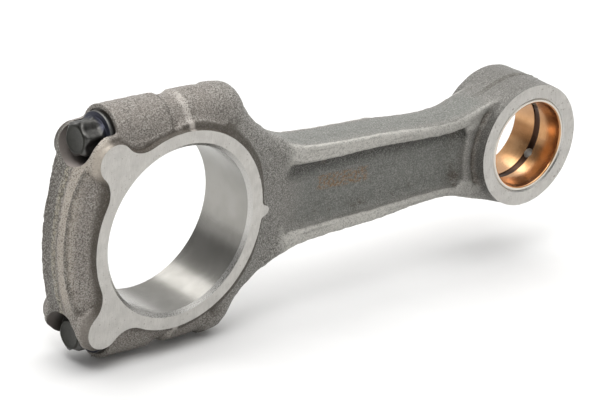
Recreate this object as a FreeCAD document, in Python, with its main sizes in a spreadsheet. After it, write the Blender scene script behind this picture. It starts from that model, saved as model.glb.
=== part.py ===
import FreeCAD, Part

import math
import os

from FreeCAD import Placement, Rotation, Vector

# Fracture-split connecting rod of a heavy diesel engine, in millimetres.
# The origin is the centre of the big-end bore.  +X runs along the rod towards
# the small end, Y is the direction of both bores and Z is the rod's width.
# The rod and its cap part in the plane X = 0.

SIZES = {
    "rod_centres": 263.0,
    # big end
    "big_bore_rad": 47.5,
    "big_width": 40.0,
    "big_chamfer": 2.0,
    "ring_rad": 56.5,
    "forging_rad": 59.0,
    "forging_width": 34.0,
    "nub_rad": 3.0,
    "nub_reach": 58.5,
    # lobes of the machined faces, beside the bolt heads
    "lobe_rad": 10.4,
    "lobe_offset": 47.5,
    "lobe_fillet": 14.0,
    "ear_rad": 13.0,
    # bosses round the two cap bolts
    "boss_rad": 15.8,
    "boss_offset": 56.6,
    "boss_end": 42.0,
    "boss_corner": 8.0,
    "relief_depth": 0.9,
    "relief_cap": 7.0,
    "relief_rod": 3.0,
    "relief_slope": 2.5,
    # cap back
    "rib_half": 9.0,
    "crest_rad": 150.0,
    "crest_reach": 69.8,
    "rim_reach": 56.8,
    "rib_sweep": 38.0,
    "seat_reach": 43.0,
    "lower_seat_reach": 38.0,
    "seat_rad": 14.0,
    # bolt holes
    "bolt_offset": 56.0,
    "bolt_hole_rad": 6.55,
    "hole_depth": 37.0,
    # shank
    "shank_width": 27.0,
    "web_width": 9.6,
    "shoulder_start": 47.0,
    "shoulder_half": 64.0,
    "shoulder_round": 4.0,
    "shoulder_arc": 62.0,
    "waist_start": 81.4,
    "waist_half": 28.8,
    "neck_start": 207.6,
    "neck_half": 23.6,
    "neck_arc": 91.0,
    "neck_end": 252.4,
    "neck_end_half": 35.4,
    "shank_edge": 2.5,
    # web recess on both sides of the shank
    "recess_start": 79.0,
    "recess_start_half": 25.0,
    "recess_corner": 9.0,
    "recess_waist": 100.0,
    "recess_arc": 40.0,
    "recess_end_half": 18.5,
    "recess_end_rad": 46.5,
    "flange_height": 6.5,
    "web_fillet": 3.5,
    # small end
    "eye_rad": 37.0,
    "eye_mid_rad": 38.0,
    "eye_width": 39.0,
    "eye_bore_rad": 28.5,
    "eye_chamfer": 0.8,
    "oil_hole_rad": 3.0,
    "oil_hole_angle": 36.0,
    # bush: steel back and bronze lining
    "back_wall": 1.6,
    "bush_rad": 26.0,
    "bush_width": 38.0,
    "bush_chamfer": 0.7,
    "groove_half": 2.3,
    "groove_depth": 0.6,
    # cap bolts, measured from the split plane
    "thread_rad": 6.5,
    "waist_rad": 5.6,
    "pilot_end": 4.0,
    "pilot_start": 6.0,
    "thread_start": 9.0,
    "bolt_tip": 33.0,
    "tip_chamfer": 1.2,
    "flange_rad": 13.0,
    "flange_thick": 3.2,
    "head_rad": 10.2,
    "head_length": 17.2,
    "head_chamfer": 1.0,
    "valley_rad": 2.6,
    "valley_offset": 10.9,
    "head_turn": 11.0,
}

doc = FreeCAD.newDocument("ConnectingRod")
sheet = doc.addObject("Spreadsheet::Sheet", "Sizes")
for row, (alias, value) in enumerate(SIZES.items(), start=1):
    sheet.set("A%d" % row, alias)
    sheet.set("B%d" % row, str(value))
    sheet.setAlias("B%d" % row, alias)
doc.recompute()


def size(alias):
    """Value of one cell of the sheet."""
    return float(sheet.get(alias))


# ------------------------------------------------------------ document helpers


def new_body(label):
    body = doc.addObject("PartDesign::Body", label)
    body.Label = label
    return body


def origin_feature(body, role):
    for feature in body.Origin.OriginFeatures:
        if feature.Role == role:
            return feature
    raise ValueError(role)


def new_sketch(body, name, role="XZ_Plane"):
    """Sketch on one of the body's own planes."""
    sketch = body.newObject("Sketcher::SketchObject", name)
    sketch.AttachmentSupport = [(origin_feature(body, role), "")]
    sketch.MapMode = "FlatFace"
    return sketch


def arc_between(start, finish, radius):
    """Short arc between two points, its centre to the left for a positive radius."""
    chord = finish - start
    half = chord.Length / 2
    left = Vector(-chord.y, chord.x, 0).normalize()
    side = 1 if radius > 0 else -1
    rise = math.sqrt(max(radius * radius - half * half, 0.0))
    centre = start + chord * 0.5 + left * rise * side
    middle = centre - left * abs(radius) * side
    return Part.Arc(start, middle, finish)


def rounded_corner(before, corner, after, radius):
    """Tangent points and middle of the arc that rounds off a corner."""
    back = (before - corner).normalize()
    ahead = (after - corner).normalize()
    half_angle = back.getAngle(ahead) / 2
    reach = radius / math.tan(half_angle)
    inwards = (back + ahead).normalize()
    middle = corner + inwards * (radius / math.sin(half_angle) - radius)
    return corner + back * reach, middle, corner + ahead * reach


def draw_chain(sketch, corners, closed=True):
    """Straight lines through corners (x, y, radius), each corner rounded off."""
    points = [Vector(x, y, 0) for x, y, _ in corners]
    count = len(points)
    entries, exits = list(points), list(points)
    for number, (_, _, radius) in enumerate(corners):
        if not radius:
            continue
        before, after = points[number - 1], points[(number + 1) % count]
        arc = rounded_corner(before, points[number], after, radius)
        entries[number], middle, exits[number] = arc
        sketch.addGeometry(Part.Arc(*arc), False)
    for number in range(count if closed else count - 1):
        line = Part.LineSegment(exits[number], entries[(number + 1) % count])
        sketch.addGeometry(line, False)


def mirrored(corners):
    """Corners at positive y and their mirror images, in one round."""
    return corners + [(x, -y, radius) for x, y, radius in reversed(corners)]


def pad_both_ways(body, name, sketch, width):
    pad = body.newObject("PartDesign::Pad", name)
    pad.Profile = sketch
    pad.Midplane = True
    pad.setExpression("Length", width)
    sketch.Visibility = False
    return pad


def pocket_both_ways(body, name, sketch, width):
    pocket = body.newObject("PartDesign::Pocket", name)
    pocket.Profile = sketch
    pocket.Midplane = True
    pocket.setExpression("Length", width)
    sketch.Visibility = False
    return pocket


def turn_profile(body, name, sketch, axis="H_Axis", kind="Revolution"):
    """Turn a sketch once about one of its own axes."""
    feature = body.newObject("PartDesign::" + kind, name)
    feature.Profile = sketch
    feature.ReferenceAxis = (sketch, [axis])
    feature.Angle = 360.0
    sketch.Visibility = False
    return feature


def cylinder(body, name, radius, length, place, kind="Subtractive"):
    """Round bar from a placement's origin along its Z axis."""
    feature = body.newObject("PartDesign::%sCylinder" % kind, name)
    feature.setExpression("Radius", radius)
    feature.setExpression("Height", length)
    feature.Placement = place
    return feature


def along_y(x, y, z):
    return Placement(Vector(x, y, z), Rotation(Vector(1, 0, 0), -90))


def along_x(x, y, z):
    return Placement(Vector(x, y, z), Rotation(Vector(0, 1, 0), 90))


def circles_at(shape, radius, centre_x, half_width):
    """Names of the round edges of one radius in the two planes Y = +/- half_width."""
    names = []
    for number, edge in enumerate(shape.Edges, start=1):
        curve = edge.Curve
        if not isinstance(curve, Part.Circle):
            continue
        right_size = abs(curve.Radius - radius) < 1e-3
        right_axis = abs(curve.Center.x - centre_x) < 1e-3
        right_plane = abs(abs(curve.Center.y) - half_width) < 1e-3
        if right_size and right_axis and right_plane:
            names.append("Edge%d" % number)
    return names


def edges_in_planes(shape, half_width, x_from, x_to):
    """Names of the edges wholly in the planes Y = +/- half_width, between two X."""
    names = []
    for number, edge in enumerate(shape.Edges, start=1):
        box = edge.BoundBox
        flat = box.YLength < 1e-3 and abs(abs(box.YMin) - half_width) < 1e-3
        if flat and box.XMin > x_from - 1e-3 and box.XMax < x_to + 1e-3:
            names.append("Edge%d" % number)
    return names


def chamfer_edges(body, name, edges, chamfer):
    base = body.Tip
    feature = body.newObject("PartDesign::Chamfer", name)
    feature.Base = (base, edges)
    feature.setExpression("Size", chamfer)


def fillet_edges(body, name, edges, radius):
    base = body.Tip
    feature = body.newObject("PartDesign::Fillet", name)
    feature.Base = (base, edges)
    feature.setExpression("Radius", radius)


# ------------------------------------------------------------------- features


def add_big_bore(body):
    """Bore of the big end with a chamfer at each face."""
    half = size("big_width") / 2
    place = along_y(0, -half, 0)
    cylinder(body, "big_bore", "Sizes.big_bore_rad", "Sizes.big_width", place)
    doc.recompute()
    edges = circles_at(body.Tip.Shape, size("big_bore_rad"), 0.0, half)
    chamfer_edges(body, "big_bore_chamfer", edges, "Sizes.big_chamfer")


def add_half_disc(body, name, radius, width, side):
    """Half disc about the bore, on the rod's side (+1) or the cap's side (-1)."""
    rad = size(radius)
    sketch = new_sketch(body, name + "_sketch")
    sketch.addGeometry(Part.LineSegment(Vector(0, rad, 0), Vector(0, -rad, 0)), False)
    outside = Vector(side * rad, 0, 0)
    sketch.addGeometry(Part.Arc(Vector(0, rad, 0), outside, Vector(0, -rad, 0)), False)
    pad_both_ways(body, name, sketch, "Sizes." + width)


def lobe_outline():
    """Corners of the cap's machined face at positive y, from the split outwards.

    One fillet on each side joins the ring to the round lobe at 45 degrees.
    """
    ring, lobe = size("ring_rad"), size("lobe_rad")
    fillet, offset = size("lobe_fillet"), size("lobe_offset")
    reach = offset * math.sqrt(2)
    from_ring, from_lobe = ring + fillet, lobe + fillet
    along = (from_ring**2 - from_lobe**2 + reach**2) / (2 * reach)
    swing = math.degrees(math.acos(along / from_ring))
    corners = [(0.0, ring, ring)]
    centre = Vector(-offset, offset, 0)
    for side in (-1, 1):
        heading = math.radians(135 + side * swing)
        ray = Vector(math.cos(heading), math.sin(heading), 0)
        fillet_centre = ray * from_ring
        on_ring = ray * ring
        on_lobe = centre + (fillet_centre - centre) * (lobe / from_lobe)
        if side < 0:
            corners.append((on_ring.x, on_ring.y, -fillet))
            corners.append((on_lobe.x, on_lobe.y, lobe))
        else:
            corners.append((on_lobe.x, on_lobe.y, -fillet))
            corners.append((on_ring.x, on_ring.y, ring))
    return corners


def add_cap_face(body):
    """Prism of the cap's machined faces: half a ring with its two lobes."""
    corners = lobe_outline()
    lower = [(x, -y) for x, y, _ in reversed(corners)]
    radii = [radius for _, _, radius in corners]
    back = list(reversed(radii[:-1])) + [0]
    upper_points = [Vector(x, y, 0) for x, y, _ in corners]
    sketch = new_sketch(body, "cap_face_sketch")
    for start, finish, radius in zip(upper_points, upper_points[1:], radii):
        sketch.addGeometry(lobe_arc(start, finish, radius), False)
    start, finish = upper_points[-1], Vector(lower[0][0], lower[0][1], 0)
    sketch.addGeometry(arc_between(start, finish, radii[-1]), False)
    lower_points = [Vector(x, y, 0) for x, y in lower]
    for start, finish, radius in zip(lower_points, lower_points[1:], back):
        sketch.addGeometry(lobe_arc(start, finish, radius), False)
    sketch.addGeometry(Part.LineSegment(lower_points[-1], upper_points[0]), False)
    pad_both_ways(body, "cap_face", sketch, "Sizes.big_width")


def lobe_arc(start, finish, radius):
    """Arc of the cap's face; the lobe's own arc is the long way round."""
    if abs(radius - size("lobe_rad")) > 1e-6:
        return arc_between(start, finish, radius)
    side = 1 if start.y > 0 else -1
    offset = size("lobe_offset")
    centre = Vector(-offset, side * offset, 0)
    outermost = centre * ((centre.Length + radius) / centre.Length)
    return Part.Arc(start, outermost, finish)


def add_bosses(body, side):
    """Round bosses about the two bolt holes, with the shallow relief at the split."""
    rad, end = size("boss_rad"), size("boss_end")
    low = rad - size("relief_depth")
    slope = size("relief_slope")
    if side > 0:
        corner = size("boss_corner")
        step = size("relief_rod")
        corners = [(0, 0, 0), (end, 0, 0), (end, rad, corner)]
        corners += [(step + slope, rad, 0), (step, low, 0), (0, low, 0)]
    else:
        step = -size("relief_cap")
        corners = [(0, 0, 0), (0, low, 0), (step, low, 0), (step - 0.4, rad, 0)]
    for name, sign in (("upper", 1), ("lower", -1)):
        sketch = new_sketch(body, name + "_boss_sketch")
        seat = -seat_reach(sign)
        ends = [] if side > 0 else [(seat, rad, 0), (seat, 0, 0)]
        draw_chain(sketch, corners + ends)
        centre = "%sSizes.boss_offset" % ("" if sign > 0 else "-")
        sketch.setExpression("AttachmentOffset.Base.y", centre)
        turn_profile(body, name + "_boss", sketch)


def seat_reach(sign):
    """Distance of a bolt's seat from the split; the lower one lies deeper."""
    return size("seat_reach" if sign > 0 else "lower_seat_reach")


def add_bolt_holes(body, start, length):
    for name, sign in (("upper", 1), ("lower", -1)):
        place = along_x(start, 0, sign * size("bolt_offset"))
        if start == 0 and sign < 0:
            length = "%s + Sizes.seat_reach - Sizes.lower_seat_reach" % length
        cylinder(body, name + "_bolt_hole", "Sizes.bolt_hole_rad", length, place)


def add_oil_holes(body, centre_x):
    """Two oil holes through the crown of the small end."""
    for name, sign in (("upper", 1), ("lower", -1)):
        turn = Rotation(Vector(0, 1, 0), 90 - sign * size("oil_hole_angle"))
        place = Placement(Vector(centre_x, 0, 0), turn)
        length = "Sizes.eye_rad + 2"
        cylinder(body, name + "_oil_hole", "Sizes.oil_hole_rad", length, place)


# ------------------------------------------------------------------ rod body


def shank_corners():
    """Upper half of the outline of shoulder, shank and neck."""
    return [
        (size("shoulder_start") - 27, size("shoulder_half"), 0),
        (size("shoulder_start"), size("shoulder_half"), size("shoulder_round")),
        (size("waist_start"), size("waist_half"), size("shoulder_arc")),
        (size("neck_start"), size("neck_half"), size("neck_arc")),
        (size("neck_end"), size("neck_end_half"), 0),
    ]


def draw_recess(sketch):
    """Outline of the web recess; its far end runs round the small end's boss."""
    lip, end_half = size("flange_height"), size("recess_end_half")
    end_rad = size("recess_end_rad")
    end_x = size("rod_centres") - math.sqrt(end_rad**2 - end_half**2)
    half = [
        (end_x, end_half, 0),
        (size("neck_start"), size("neck_half") - lip, size("recess_arc")),
        (size("recess_waist"), size("waist_half") - lip, size("recess_arc")),
        (size("recess_start"), size("recess_start_half"), size("recess_corner")),
    ]
    draw_chain(sketch, list(reversed(mirrored(half))), closed=False)
    low, high = Vector(end_x, -end_half, 0), Vector(end_x, end_half, 0)
    nearest = Vector(size("rod_centres") - end_rad, 0, 0)
    sketch.addGeometry(Part.Arc(low, nearest, high), False)


def add_eye(body):
    """Round boss of the small end, drafted from its middle plane to its faces."""
    half, rad, middle = size("eye_width") / 2, size("eye_rad"), size("eye_mid_rad")
    sketch = new_sketch(body, "eye_sketch", "XY_Plane")
    corners = [(0, -half, 0), (rad, -half, 0), (middle, 0, 0), (rad, half, 0), (0, half, 0)]
    draw_chain(sketch, corners)
    sketch.setExpression("AttachmentOffset.Base.x", "Sizes.rod_centres")
    turn_profile(body, "eye", sketch, "V_Axis")


def build_rod():
    body = new_body("rod_body")
    add_half_disc(body, "forged_ring", "forging_rad", "forging_width", 1)
    add_half_disc(body, "machined_ring", "ring_rad", "big_width", 1)
    half = size("big_width") / 2
    nub = along_y(size("nub_reach"), -half, 0)
    cylinder(body, "nub", "Sizes.nub_rad", "Sizes.big_width", nub, "Additive")
    shank = new_sketch(body, "shank_sketch")
    draw_chain(shank, mirrored(shank_corners()))
    pad_both_ways(body, "shank", shank, "Sizes.shank_width")
    doc.recompute()
    half = size("shank_width") / 2
    outer = edges_in_planes(body.Tip.Shape, half, size("shoulder_start"), size("neck_end"))
    fillet_edges(body, "shank_edges", outer, "Sizes.shank_edge")
    recess = new_sketch(body, "recess_sketch")
    draw_recess(recess)
    pocket_both_ways(body, "recess", recess, "Sizes.shank_width")
    web = new_sketch(body, "web_sketch")
    draw_recess(web)
    pad_both_ways(body, "web", web, "Sizes.web_width")
    doc.recompute()
    half = size("web_width") / 2
    floor = edges_in_planes(body.Tip.Shape, half, 0, size("rod_centres"))
    fillet_edges(body, "web_edges", floor, "Sizes.web_fillet")
    add_bosses(body, 1)
    add_eye(body)
    eye_half, centre = size("eye_width") / 2, size("rod_centres")
    eye = along_y(centre, -eye_half, 0)
    cylinder(body, "eye_bore", "Sizes.eye_bore_rad", "Sizes.eye_width", eye)
    doc.recompute()
    edges = circles_at(body.Tip.Shape, size("eye_bore_rad"), centre, eye_half)
    chamfer_edges(body, "eye_chamfer", edges, "Sizes.eye_chamfer")
    add_oil_holes(body, size("rod_centres"))
    add_bolt_holes(body, 0, "Sizes.hole_depth")
    add_big_bore(body)
    return body


# --------------------------------------------------------------- bearing cap


def add_cap_back(body):
    """Arched rib of the cap's back with its sloping sides."""
    sketch = new_sketch(body, "cap_back_sketch", "XY_Plane")
    centre = size("crest_rad") - size("crest_reach")
    rib, side = size("rib_half"), size("forging_width") / 2
    crest, rim = -size("crest_rad"), -(centre + size("rim_reach"))
    inside = rim + 12
    corners = [(crest, -rib, 0), (rim, -side, 0), (inside, -side, 0)]
    corners += [(inside, side, 0), (rim, side, 0), (crest, rib, 0)]
    draw_chain(sketch, corners)
    sketch.setExpression("AttachmentOffset.Base.x", "Sizes.crest_rad - Sizes.crest_reach")
    back = body.newObject("PartDesign::Revolution", "cap_back")
    back.Profile = sketch
    back.ReferenceAxis = (sketch, ["V_Axis"])
    back.Midplane = True
    back.setExpression("Angle", "Sizes.rib_sweep")
    sketch.Visibility = False


def build_cap():
    body = new_body("bearing_cap")
    add_cap_face(body)
    add_cap_back(body)
    offset, half = size("lobe_offset"), size("forging_width") / 2
    for name, sign in (("upper", 1), ("lower", -1)):
        ear = along_y(-offset, -half, sign * offset)
        cylinder(body, name + "_ear", "Sizes.ear_rad", "Sizes.forging_width", ear, "Additive")
    add_bosses(body, -1)
    for name, sign in (("upper", 1), ("lower", -1)):
        place = along_x(-seat_reach(sign) - 40, 0, sign * size("bolt_offset"))
        cylinder(body, name + "_seat", "Sizes.seat_rad", "40", place)
    add_bolt_holes(body, -size("seat_reach") - 1, "Sizes.seat_reach + 1")
    add_big_bore(body)
    return body


# ---------------------------------------------------------------------- bush


def build_ring(label, outer, inner, groove):
    """Ring about the small end's axis, modelled about its own origin."""
    body = new_body(label)
    half, chamfer = size("bush_width") / 2, size("bush_chamfer")
    sketch = new_sketch(body, label + "_sketch", "XY_Plane")
    corners = [(outer, -half, 0), (outer, half, 0)]
    if groove:
        deep, wide = inner + size("groove_depth"), size("groove_half")
        corners += [(inner + chamfer, half, 0), (inner, half - chamfer, 0)]
        corners += [(inner, wide, 0), (deep, wide, 0), (deep, -wide, 0), (inner, -wide, 0)]
        corners += [(inner, chamfer - half, 0), (inner + chamfer, -half, 0)]
    else:
        corners += [(inner, half, 0), (inner, -half, 0)]
    draw_chain(sketch, corners)
    turn_profile(body, label + "_ring", sketch, "V_Axis")
    add_oil_holes(body, 0.0)
    body.setExpression("Placement.Base.x", "Sizes.rod_centres")
    return body


# --------------------------------------------------------------------- bolts


def bolt_corners():
    """Half section of a cap bolt, from its tip to the end of its head."""
    seat, thick = -size("seat_reach"), size("flange_thick")
    end = seat - size("head_length")
    tip, chamfer = size("bolt_tip"), size("tip_chamfer")
    thread, waist = size("thread_rad"), size("waist_rad")
    head, bevel, flange = size("head_rad"), size("head_chamfer"), size("flange_rad")
    return [
        (end, 0, 0),
        (tip, 0, 0),
        (tip, thread - chamfer, 0),
        (tip - chamfer, thread, 0),
        (size("thread_start"), thread, 0),
        (size("pilot_start"), waist, 0),
        (-size("pilot_end"), waist, 0),
        (-size("pilot_end") - 1, thread, 0),
        (-size("thread_start") - 5, thread, 0),
        (-size("thread_start") - 6, waist, 0),
        (seat + 3, waist, 0),
        (seat + 2, thread, 0),
        (seat, thread, 0),
        (seat, flange, 0),
        (seat - thick + 1, flange, 0),
        (seat - thick, head + 0.6, 0),
        (seat - thick - 0.6, head, 0),
        (end + bevel, head, 0),
        (end, head - bevel, 0),
    ]


def build_bolt(label, offset, sunk="0"):
    """Flange bolt with a six-lobed head, modelled about its own axis."""
    body = new_body(label)
    sketch = new_sketch(body, label + "_sketch")
    draw_chain(sketch, bolt_corners())
    turn_profile(body, label + "_shape", sketch)
    end = -size("seat_reach") - size("head_length")
    length = size("head_length") - size("flange_thick") - 1.5
    for number in range(6):
        angle = math.radians(size("head_turn") + 60 * number)
        across = size("valley_offset") * math.cos(angle)
        up = size("valley_offset") * math.sin(angle)
        place = along_x(end, across, up)
        name = "%s_valley_%d" % (label, number + 1)
        cylinder(body, name, "Sizes.valley_rad", "%g" % length, place)
    body.setExpression("Placement.Base.x", sunk)
    body.setExpression("Placement.Base.z", offset)
    return body


# -------------------------------------------------------------------- output

back_outer = size("eye_bore_rad")
lining_outer = back_outer - size("back_wall")
bodies = [
    build_rod(),
    build_cap(),
    build_ring("bush_steel_back", back_outer, lining_outer, False),
    build_ring("bush_bronze_lining", lining_outer, size("bush_rad"), True),
    build_bolt("cap_bolt_upper", "Sizes.bolt_offset"),
    build_bolt("cap_bolt_lower", "-Sizes.bolt_offset", "Sizes.seat_reach - Sizes.lower_seat_reach"),
]
doc.recompute()

for item in doc.Objects:
    if "Invalid" in item.State or "Error" in item.State:
        raise RuntimeError("%s: %s" % (item.Label, item.State))

os.makedirs("parts", exist_ok=True)
for body in bodies:
    if body.Shape.isNull() or not body.Shape.isValid():
        raise RuntimeError(body.Label)
    body.Shape.exportStep("parts/%s.step" % body.Label)
    print(body.Label, "%.0f mm3" % body.Shape.Volume, len(body.Shape.Solids))
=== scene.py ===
import math

import bmesh
import bpy
import numpy as np
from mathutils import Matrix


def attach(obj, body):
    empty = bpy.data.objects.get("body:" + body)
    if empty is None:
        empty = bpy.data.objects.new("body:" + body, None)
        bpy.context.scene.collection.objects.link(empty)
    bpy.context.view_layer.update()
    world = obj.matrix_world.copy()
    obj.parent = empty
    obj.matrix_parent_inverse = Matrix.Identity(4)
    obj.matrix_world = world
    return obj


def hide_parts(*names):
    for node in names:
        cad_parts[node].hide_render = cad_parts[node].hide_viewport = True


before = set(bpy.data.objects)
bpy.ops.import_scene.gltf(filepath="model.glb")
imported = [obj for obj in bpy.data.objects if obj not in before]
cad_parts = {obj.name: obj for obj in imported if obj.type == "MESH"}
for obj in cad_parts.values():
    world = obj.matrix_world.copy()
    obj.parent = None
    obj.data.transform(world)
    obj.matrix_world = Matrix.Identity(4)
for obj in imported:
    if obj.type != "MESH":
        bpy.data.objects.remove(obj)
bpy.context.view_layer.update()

import openvdb
from mathutils import Matrix, Vector

# Looks of the connecting rod.  Shapes are worked out in millimetres in the part's
# own frame (X along the rod, Y along the bores, Z across) and written in metres.

MM = 0.001
VOXEL = 0.85

# machined sizes: radii, and half-widths over the two faces
CENTRES = 263.0
BIG_BORE, BIG_CHAMFER, BIG_FACE = 47.5, 2.0, 20.0
EYE_BORE, EYE_CHAMFER, EYE_FACE = 28.5, 0.8, 19.5
BUSH_BORE, BUSH_JOINT, BUSH_FACE = 26.0, 26.9, 19.0
OIL_HOLE, OIL_ANGLE, OIL_START, OIL_END = 3.0, 36.0, 20.0, 45.0

# bolts and their bosses; the lower bolt's seat lies deeper than the upper one's
BOLT_Z, BOSS_Z = 56.0, 56.6
SEAT_X, LOW_SEAT_X = -43.0, -38.0
SUNK = LOW_SEAT_X - SEAT_X
SEAT_RAD, BOLT_HOLE, HOLE_DEPTH = 14.0, 6.6, 79.0

# forging sizes; thicknesses and faces are half-widths, and STOCK_FACE is the one
# before milling.  The shank sits a little low, the cap's back is one wide arch.
SHANK_START, SHANK_END, SHANK_DROP = 30.0, 262.0, 0.8
SHANK_THICK, WEB_THICK, STOCK_FACE = 13.5, 4.9, 22.0
RING_RAD, EYE_RAD = 56.4, 37.3
NUB_X, NUB_RAD = 58.3, 2.9
BASE_RAD, BASE_THICK = 58.6, 16.4
BOSS_RAD, BOSS_END = 15.7, 42.5
EAR_AT, EAR_RAD, EAR_THICK = 47.5, 12.9, 16.9
ARCH_X, ARCH_Z, ARCH_RAD, ARCH_THICK = 44.6, 3.0, 114.1, 16.8
GRID_LOW, GRID_HIGH = (-73.0, -24.0, -76.0), (304.0, 24.0, 76.0)

FLOOR_Z = -73.5

# ------------------------------------------------------------ distance fields


def round_max(a, b, radius):
    """Intersection of two solids with the common edge rounded off."""
    u = np.maximum(a + radius, 0.0)
    v = np.maximum(b + radius, 0.0)
    return np.minimum(-radius, np.maximum(a, b)) + np.sqrt(u * u + v * v)


def round_min(a, b, radius):
    """Union of two solids with a fillet in the corner between them."""
    u = np.maximum(radius - a, 0.0)
    v = np.maximum(radius - b, 0.0)
    return np.maximum(radius, np.minimum(a, b)) - np.sqrt(u * u + v * v)


def rise(value, low, high):
    """Smooth step from 0 at `low` to 1 at `high`."""
    t = np.clip((value - low) / (high - low), 0.0, 1.0)
    return t * t * (3.0 - 2.0 * t)


def fall(value, low, high):
    """Smooth step from 1 at `low` to 0 at `high`."""
    return 1.0 - rise(value, low, high)


def polygon_distance(points, x, z):
    """Signed distance to a closed polygon, negative inside."""
    best = np.full(np.broadcast(x, z).shape, 1e9, np.float32)
    inside = np.zeros(best.shape, bool)
    for (ax, az), (bx, bz) in zip(points, points[1:] + points[:1]):
        ex, ez = bx - ax, bz - az
        wx, wz = x - ax, z - az
        t = np.clip((wx * ex + wz * ez) / (ex * ex + ez * ez), 0.0, 1.0)
        best = np.minimum(best, (wx - ex * t) ** 2 + (wz - ez * t) ** 2)
        if az != bz:
            crosses = (az > z) != (bz > z)
            inside ^= crosses & (x < ax + ex * (z - az) / ez)
    best = np.sqrt(best)
    return np.where(inside, -best, best).astype(np.float32)


def arc_points(centre, radius, start, finish, count):
    angles = np.radians(np.linspace(start, finish, count))
    return [(centre[0] + radius * math.cos(a), centre[1] + radius * math.sin(a)) for a in angles]


def band_noise(g, longest, shortest, seed):
    """Smooth random field of unit spread, its waves between two lengths in mm."""
    rng = np.random.default_rng(seed)
    spectrum = np.fft.rfftn(rng.standard_normal(g.shape).astype(np.float32))
    fx = np.fft.fftfreq(g.shape[0], g.voxel)[:, None, None]
    fy = np.fft.fftfreq(g.shape[1], g.voxel)[None, :, None]
    fz = np.fft.rfftfreq(g.shape[2], g.voxel)[None, None, :]
    freq = np.sqrt(fx * fx + fy * fy + fz * fz) + 1e-9
    gain = np.exp(-((freq * shortest) ** 2)) * (1.0 - np.exp(-((freq * longest) ** 2)))
    field = np.fft.irfftn(spectrum * gain, s=g.shape).astype(np.float32)
    return field / field.std()


def add_object(name, mesh):
    """Object on a closed mesh, with all its faces turned outwards."""
    obj = bpy.data.objects.new(name, mesh)
    bpy.context.scene.collection.objects.link(obj)
    work = bmesh.new()
    work.from_mesh(mesh)
    if work.calc_volume(signed=True) < 0:
        bmesh.ops.reverse_faces(work, faces=work.faces)
    work.to_mesh(mesh)
    work.free()
    return obj


class Grid:
    """Regular grid of points in mm, with their distances from the rod's axes."""

    def __init__(self, low, high, voxel):
        self.voxel = voxel
        self.low = np.array(low, float)
        counts = np.ceil((np.array(high) - self.low) / voxel).astype(int) + 1
        self.shape = tuple(int(c) for c in counts)
        axes = [self.low[i] + voxel * np.arange(counts[i]) for i in range(3)]
        self.x = axes[0].astype(np.float32)[:, None, None]
        self.y = axes[1].astype(np.float32)[None, :, None]
        self.z = axes[2].astype(np.float32)[None, None, :]
        self.ay, self.az = np.abs(self.y), np.abs(self.z)
        self.big_r = np.sqrt(self.x * self.x + self.z * self.z)
        self.eye_r = np.sqrt((self.x - CENTRES) ** 2 + self.z * self.z)

    def mesh(self, name, field):
        """Mesh object on the field's zero surface."""
        reach = 3.0 * self.voxel
        cut = np.clip(np.broadcast_to(field, self.shape), -reach, reach)
        volume = openvdb.FloatGrid(reach)
        volume.copyFromArray(np.ascontiguousarray(cut, np.float32))
        volume.gridClass = openvdb.GridClass.LEVEL_SET
        points, triangles, quads = volume.convertToPolygons(isovalue=0.0, adaptivity=0.0)
        points = (points * self.voxel + self.low) * MM
        mesh = bpy.data.meshes.new(name)
        faces = [tuple(q) for q in quads.tolist()] + [tuple(t) for t in triangles.tolist()]
        mesh.from_pydata(points.tolist(), [], faces)
        mesh.update()
        return add_object(name, mesh)


# ------------------------------------------------------------------- forging

# half-height of shoulder, shank and neck at stations along the rod
OUTLINE = [
    (30, 70.5), (40, 68.0), (46, 62.0), (52, 54.3), (58, 48.2), (64, 43.4), (70, 39.6),
    (76, 36.2), (82, 33.4), (90, 30.4), (100, 29.1), (110, 28.5), (120, 27.9), (135, 27.4),
    (150, 26.9), (165, 26.2), (180, 25.6), (195, 25.0), (205, 25.1), (214, 26.3),
    (222, 28.1), (230, 30.0), (238, 31.8), (246, 33.3), (263, 35.5),
]


def outline_half(x):
    """The outline's half-height at each X, its corners smoothed over 12 mm."""
    flat = x.ravel()
    half = np.interp(flat, *zip(*OUTLINE))
    kernel = np.hanning(int(round(12.0 / (flat[1] - flat[0]))) | 1)
    kernel /= kernel.sum()
    pad = len(kernel) // 2
    half = np.convolve(np.pad(half, pad, mode="edge"), kernel, mode="valid")
    return half.astype(np.float32)[:, None, None]


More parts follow.
